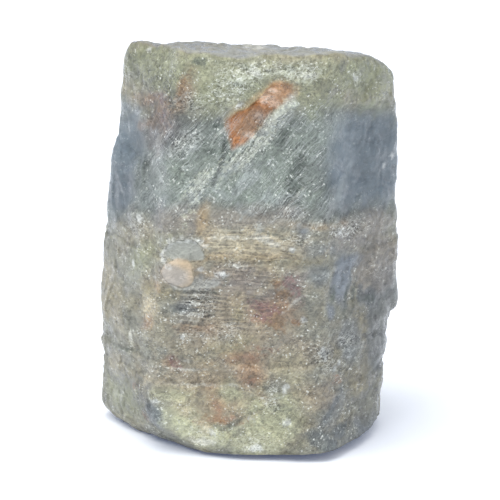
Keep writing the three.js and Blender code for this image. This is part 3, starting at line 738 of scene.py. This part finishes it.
# Terraces: growth layers, level for a way and then dropping. Edge marks the drop. Height in mm.
terrace_group, given, made = new_group(
    "terraces",
    {"Position": "Vector", "Wide": "Float", "Tall": "Float", "Seed": "Float", "Layers": "Float"},
    {"Height": "Float", "Edge": "Float", "Cloud": "Float"},
)
cloudy = drawn_noise(
    terrace_group, given["Position"], given["Wide"], given["Tall"], given["Seed"], 0.5
)
layers = work_out(terrace_group, "MULTIPLY", cloudy, given["Layers"])
share = work_out(terrace_group, "FRACT", layers)
riser = ramp(terrace_group, share, RISER_START, RISER_START + RISER_SHARE)
risen = work_out(terrace_group, "ADD", work_out(terrace_group, "FLOOR", layers), riser)
from_edge = work_out(terrace_group, "ABSOLUTE", work_out(terrace_group, "SUBTRACT", share, 0.5))
give_out(terrace_group, made, {
    "Height": work_out(terrace_group, "DIVIDE", risen, given["Layers"]),
    "Edge": ramp(terrace_group, from_edge, 0.05, 0.2, 1.0, 0.0),
    "Cloud": cloudy,
})

corundum = bpy.data.materials.new("raw corundum")
corundum.use_nodes = True
tree = corundum.node_tree
tree.nodes.clear()


def chain(operation, values):
    """Works values out two at a time, from the left, in the crystal's own material."""
    found = values[0]
    for value in values[1:]:
        found = work_out(tree, operation, found, value)
    return found


def times(*values):
    return chain("MULTIPLY", values)


def plus(*values):
    return chain("ADD", values)


def minus(*values):
    return chain("SUBTRACT", values)


def most(*values):
    return chain("MAXIMUM", values)


def eased(*values):
    return ramp(tree, *values)


def span(share, at_none, at_full):
    """Goes from one number to another, eased, as the share goes from 0 to 1."""
    return ramp(tree, share, 0.0, 1.0, at_none, at_full)


def blend(share, low, high):
    """Goes evenly from one value to another as the share goes from 0 to 1."""
    return add(tree, "Mix", {0: share, 2: low, 3: high}).outputs[0]


def field(name):
    return add(tree, "Attribute", attribute_name=name).outputs["Fac"]


# Grains reach further from front to back than across, so their noise runs slower that way.
# Threads follow the skin laid flat, and noise bends them a little.
GRAIN_STRETCH = (1, 0.45, 1)
BEND = 0.6  # how far a thread may stray, in millimetres
metres = add(tree, "TexCoord").outputs["Object"]
mm = vector(tree, "SCALE", metres, 1 / MM)
grain_mm = vector(tree, "MULTIPLY", mm, GRAIN_STRETCH)
laid_mm = add(tree, "Attribute", attribute_name="laid_flat").outputs["Vector"]
bend_noise = {"Vector": mm, "Scale": 1.1, "Detail": 3.0, "Roughness": 0.6}
bends = vector(tree, "SUBTRACT", add(tree, "TexNoise", bend_noise).outputs["Color"], MIDDLE)
flat_mm = vector(tree, "ADD", laid_mm, vector(tree, "SCALE", bends, BEND))


def lumps(scale, detail=2.0, roughness=0.5):
    feeds = {"Vector": grain_mm, "Scale": scale, "Detail": detail, "Roughness": roughness}
    return add(tree, "TexNoise", feeds).outputs["Fac"]


def threads_along(degrees, length, width, seed, bare):
    feeds = {
        "Position": flat_mm, "Tilt": math.radians(degrees), "Length": length, "Width": width,
        "Seed": seed, "Bare": bare,
    }
    return use_group(tree, fibres, feeds)


def terraces_of(wide, tall, seed, layers):
    feeds = {"Position": flat_mm, "Wide": wide, "Tall": tall, "Seed": seed, "Layers": layers}
    return use_group(tree, terrace_group, feeds)


def lay_stain(under, tint, name, edge_noise, ragged, soft, strength):
    feeds = {
        "Under": under, "Over": (*tint, 1), "Field": field(name), "Noise": edge_noise,
        "Ragged": ragged, "Soft": soft, "Strength": strength,
    }
    return use_group(tree, stain, feeds)


wide_lumps, small_lumps, fine_grain = lumps(0.45), lumps(1.3, 3.0, 0.6), lumps(5.5, 2.0, 0.7)

# Threads of silk and scratches mostly rise to the right, and some fall. Beams are the broad
# bundles that they lie in. Threads fade in the crust, on the sides and at the seams.
rising = threads_along(48, 2.8, 0.09, 1.0, 0.54)
fine_rising = threads_along(53, 1.6, 0.07, 2.0, 0.53)
falling = threads_along(-38, 2.0, 0.08, 5.0, 0.54)
streaks = threads_along(48, 3.0, 0.7, 3.0, 0.5)["Cloud"]
beams = threads_along(47, 2.6, 0.26, 31.0, 0.5)["Cloud"]
ragged_noise = blend(0.5, lumps(0.9, 4.0, 0.65), streaks)
fine_ragged = lumps(3.4, 3.0, 0.65)
stepped_here = field("stepped")
silky_here = eased(plus(field("band"), times(streaks, 2.0)), 0.2, 1.6)
unsilky = minus(1.0, silky_here)
off_seam = minus(1.0, most(field("seam"), field("level")))
fallen = times(falling["Threads"], eased(lumps(0.6, 2.0), 0.40, 0.54))
threads = most(rising["Threads"], times(fine_rising["Threads"], 0.75), times(fallen, 0.9))
threads = times(threads, eased(lumps(0.8, 4.0, 0.65), 0.40, 0.60, 0.3, 1.0))
threads = times(threads, span(silky_here, 0.25, 1.0), off_seam)
threads = times(threads, span(field("sides"), 1.0, 0.45))
steps = terraces_of(2.6, 0.42, 11.0, 7.0)
crust_steps = terraces_of(1.3, 0.55, 13.0, 8.0)
step_height = blend(stepped_here, crust_steps["Height"], steps["Height"])
step_edges = times(blend(stepped_here, crust_steps["Edge"], steps["Edge"]), unsilky)
step_edges = times(step_edges, eased(small_lumps, 0.40, 0.60, 0.1, 1.0))

# Squiggles: fine bright lines along the edges of broken silk in the band and of growth layers in
# the crust, painted in as highlight on those edges.
silk_squiggles = times(threads_along(46, 1.1, 0.24, 21.0, 0.5)["Squiggles"], 0.78)
crust_squiggles = times(threads_along(6, 0.62, 0.30, 22.0, 0.5)["Squiggles"], 0.85)
tiny_squiggles = times(threads_along(25, 0.34, 0.17, 23.0, 0.5)["Squiggles"], 0.7)
glitter_here = eased(field("glitter"), -0.5, 0.5)
livelier = most(eased(lumps(1.1, 3.0, 0.6), 0.40, 0.58, 0.2, 1.0), times(glitter_here, 0.8))
livelier = times(livelier, span(off_seam, 0.15, 1.0))
squiggles = times(most(blend(silky_here, crust_squiggles, silk_squiggles), tiny_squiggles), livelier)

# Bars: level growth layers seen edge on, light and dark by turns, on the stepped part.
BAR_PITCH = 0.30
upright = add(tree, "SeparateXYZ", {0: laid_mm}).outputs["Z"]
bar_wander = times(terraces_of(2.4, 0.7, 17.0, 5.0)["Cloud"], 2.6)
bar = work_out(tree, "FRACT", plus(work_out(tree, "DIVIDE", upright, BAR_PITCH), bar_wander))
bar_light = eased(work_out(tree, "ABSOLUTE", minus(bar, 0.5)), 0.08, 0.26, 1.0, 0.0)
bar_here = times(stepped_here, eased(terraces_of(0.9, 0.3, 19.0, 5.0)["Cloud"], 0.42, 0.56), off_seam)
squiggles = times(squiggles, span(bar_here, 1.0, 0.7))

# Colour: a crust of two browns, the teal band, every stain in turn, and the grey of the broken top.
TAN_CRUST = (0.285, 0.255, 0.172, 1)
GREY_CRUST = (0.239, 0.234, 0.182, 1)
SMOOTH_TEAL = (0.166, 0.198, 0.182)
TOP_GREY = (0.258, 0.260, 0.228)
TOP_PALE = (0.62, 0.62, 0.56)
colour = mix(tree, eased(wide_lumps, 0.38, 0.62), GREY_CRUST, TAN_CRUST)
colour = lay_stain(colour, SMOOTH_TEAL, "band", ragged_noise, 3.0, 1.8, 0.85)["Color"]
SHARP_EDGE = 0.4  # a stain with a sharper edge than this takes the finer noise
RAGGED_GAIN = 4
masks = {}
for name, (tint, strength, soft, ragged, _) in STAINS.items():
    edge_noise = fine_ragged if soft < SHARP_EDGE else ragged_noise
    laid_on = lay_stain(colour, tint, name, edge_noise, RAGGED_GAIN * ragged, soft, strength)
    colour, masks[name] = laid_on["Color"], laid_on["Mask"]
colour = lay_stain(colour, TOP_GREY, "top", ragged_noise, 1.5, 2.0, 0.8)["Color"]
colour = lay_stain(colour, TOP_PALE, "top_spot", ragged_noise, 2.0, 0.6, 0.6)["Color"]

# Dark windows, where the skin is clear and shows the darker inside of the stone.
INSIDE = (0.075, 0.095, 0.085, 1)
windows = times(eased(lumps(1.7, 4.0, 0.7), 0.36, 0.44, 1.0, 0.0), 0.18)
colour = mix(tree, windows, colour, INSIDE)

# Liveliness says how much grain shows: little on smooth grains, blue faces, breaks and far sides.
smooth_here = most(masks["feldspar_rim"], masks["clear_chip"])
calm = most(
    masks["blue"], times(masks["pocket"], 0.25), times(masks["blue_violet"], 0.8),
    times(field("level"), 0.7), smooth_here, times(field("sides"), 0.4),
)
liveliness = eased(calm, 0.0, 0.8, 1.0, 0.25)
crusty = times(span(unsilky, 0.35, 1.0), eased(smooth_here, 0.0, 0.8, 1.0, 0.2))
rough_here = minus(1.0, smooth_here)
coarse_facets, fine_facets, glint_facets = [
    use_group(tree, facet_group, {"Position": grain_mm, "Size": size}) for size in (0.5, 0.24, 0.095)
]

# Brightness: each part lightens or darkens the skin by its own share.
SKIN_BRIGHT = 0.785
thread_shade = times(minus(rising["Cloud"], 0.5), 0.6, span(field("sides"), 1.0, 0.4))
thread_shade = plus(thread_shade, times(minus(beams, 0.5), silky_here, 0.5))
bar_strength = span(field("barred"), 0.5, 0.58)
bright = plus(
    SKIN_BRIGHT,
    times(eased(fine_grain, 0.3, 0.7, -0.12, 0.12), liveliness),
    times(span(coarse_facets["Chance"], -0.06, 0.06), crusty),
    times(span(fine_facets["Chance"], -0.10, 0.10), crusty),
    # painted shade in the hollows and painted highlight on the raised edges
    eased(field("hollow"), -1.0, 1.0, 0.15, -0.30),
    eased(small_lumps, 0.3, 0.7, -0.07, 0.07),
    # painted highlight on the edges of the growth steps
    times(step_edges, 0.22),
    times(thread_shade, span(liveliness, 0.3, 1.0)),
    # painted highlight along the squiggles
    times(squiggles, liveliness, 0.58),
    times(minus(bar_light, 0.45), bar_here, bar_strength),
    field("shade"),
    times(span(glint_facets["Chance"], -0.08, 0.08), liveliness),
    times(eased(fine_rising["Cloud"], 0.38, 0.45, 1.0, 0.0), silky_here, liveliness, -0.22),
    times(glitter_here, -0.19),
)
colour = vector(tree, "SCALE", colour, bright)
PALE_THREAD = (0.56, 0.585, 0.56, 1)
colour = mix(tree, times(threads, liveliness, 0.49), colour, PALE_THREAD)

# Painted glints: white painted on single facets where they would catch the light, crowded where
# the skin glitters, and painted sparkle along the squiggles.
PAINTED_GLINT = (0.81, 0.82, 0.75, 1)
crowding = most(glitter_here, eased(small_lumps, 0.45, 0.62, 0.0, 0.35))
lit = work_out(tree, "GREATER_THAN", glint_facets["Chance"], span(crowding, 0.93, 0.76))
broken_edges = most(squiggles, times(threads, 0.8))
painted_glints = times(lit, eased(broken_edges, 0.25, 0.7), times(rough_here, liveliness))
painted_sparkle = times(squiggles, glitter_here, 0.32, rough_here)
colour = mix(tree, most(times(painted_glints, 0.75), painted_sparkle), colour, PAINTED_GLINT)

# Facets of the sugar, finer ones among them, the steps and the threads give the skin its glint.
# Each is a height in millimetres.
sugar_height = plus(times(coarse_facets["Height"], 0.3), times(fine_facets["Height"], 0.3))
skin_height = plus(
    times(sugar_height, crusty),
    times(threads, 0.014),
    times(fine_grain, 0.03),
    times(step_height, unsilky, 0.2, off_seam),
    times(squiggles, 0.02),
    times(bar_light, bar_here, 0.03),
)
skin_height = times(skin_height, times(rough_here, liveliness))
bump = add(tree, "Bump", {"Strength": 1.0, "Distance": MM, "Height": skin_height}).outputs[0]
roughness = minus(span(coarse_facets["Chance"], 0.18, 0.5), times(painted_glints, 0.1))

# Light passes about half a millimetre into the stone before it comes out again.
shader = add(tree, "BsdfPrincipled", {
    "Base Color": colour,
    "Roughness": roughness,
    "Normal": bump,
    "IOR": 1.6,
    "Subsurface Weight": 0.2,
    "Subsurface Radius": (1.0, 1.0, 0.95),
    "Subsurface Scale": 0.0005,
})
add(tree, "OutputMaterial", {"Surface": shader.outputs[0]})

skin.materials.clear()
skin.materials.append(corundum)
skin.shade_smooth()
skin.transform(Matrix.Scale(MM, 4))
crystal = bpy.data.objects.new("raw_sapphire", skin)
scene.collection.objects.link(crystal)
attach(crystal, "root")
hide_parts("sapphire_crystal")

# ---------------------------------------------------------------- the white sheet
# A matt white sheet lies under the stone and runs out of sight on all sides. It gives off a faint
# blue glow, painted light that lifts its shadows and tints them blue.

SHEET_SIDE = 2.4
SHEET_WHITE, SHEET_PALER = (0.93, 0.96, 0.995, 1), (0.945, 0.975, 1.0, 1)
PAINTED_GLOW_BLUE, PAINTED_GLOW = (0.42, 0.52, 1.0, 1), 0.10
sheet_mesh = bpy.data.meshes.new("white_sheet")
square = bmesh.new()
bmesh.ops.create_grid(square, x_segments=8, y_segments=8, size=SHEET_SIDE / 2)
square.to_mesh(sheet_mesh)
square.free()
sheet = bpy.data.objects.new("white_sheet", sheet_mesh)
scene.collection.objects.link(sheet)
matt_white = bpy.data.materials.new("matt white sheet")
matt_white.use_nodes = True
sheet_tree = matt_white.node_tree
sheet_tree.nodes.clear()
sheet_lumps = add(sheet_tree, "TexNoise", {"Scale": 60.0, "Detail": 2.0}).outputs["Fac"]
matt = add(sheet_tree, "BsdfPrincipled", {
    "Base Color": mix(sheet_tree, sheet_lumps, SHEET_WHITE, SHEET_PALER),
    "Roughness": 0.9,
    "Specular IOR Level": 0.2,
    # painted glow: faint blue light given off by the sheet itself
    "Emission Color": PAINTED_GLOW_BLUE,
    "Emission Strength": PAINTED_GLOW,
})
add(sheet_tree, "OutputMaterial", {"Surface": matt.outputs[0]})
sheet_mesh.materials.append(matt_white)

# ---------------------------------------------------------------- light
# A pale sky lights the stone from all round, a little blue towards the horizon. One large square
# lamp hangs above its left front, so the shadows are soft and fall to the right.

ZENITH = (1.25, 1.23, 1.20, 1)
HORIZON = (0.60, 0.69, 0.86, 1)
sky = bpy.data.worlds.new("pale sky")
sky.use_nodes = True
sky_tree = sky.node_tree
looking = add(sky_tree, "TexCoord").outputs["Generated"]
rise = add(sky_tree, "SeparateXYZ", {0: looking}).outputs["Z"]
sky_colour = mix(sky_tree, add(sky_tree, "Clamp", {0: rise}).outputs[0], HORIZON, ZENITH)
sky_tree.links.new(sky_colour, sky_tree.nodes["Background"].inputs["Color"])
scene.world = sky

LAMP_PLACE = Vector((-0.14, -0.07, 0.35))
LAMP_AIM = Vector((0, 0, 0.014))
LAMP_SIDE = 0.34
LAMP_POWER = 0.85
lamp_data = bpy.data.lights.new("soft lamp", "AREA")
lamp_data.shape = "SQUARE"
lamp_data.size = LAMP_SIDE
lamp_data.energy = LAMP_POWER
lamp_data.color = (1.0, 0.985, 0.95)
lamp = bpy.data.objects.new("soft lamp", lamp_data)
lamp.location = LAMP_PLACE
lamp.rotation_euler = (LAMP_AIM - LAMP_PLACE).to_track_quat("-Z", "Y").to_euler()
scene.collection.objects.link(lamp)
scene.view_settings.view_transform = "Standard"

# ---------------------------------------------------------------- camera
# It stands 18 cm in front of the stone and looks a little down on it. Its lens is long, so the
# upright sides stay nearly parallel.

LENS, SENSOR = 187.2, 36  # millimetres
LOOK_AT = Vector((0.000155, 0, 0.0122))
DISTANCE = 0.18
LOOK_DOWN = math.radians(13.6)
camera_data = bpy.data.cameras.new("camera")
camera_data.sensor_width = SENSOR
camera_data.lens = LENS
camera_data.clip_start = 0.01
camera = bpy.data.objects.new("camera", camera_data)
back = Vector((0, -math.cos(LOOK_DOWN), math.sin(LOOK_DOWN)))
camera.location = LOOK_AT + back * DISTANCE
camera.rotation_euler = (-back).to_track_quat("-Z", "Y").to_euler()
scene.collection.objects.link(camera)
scene.camera = camera
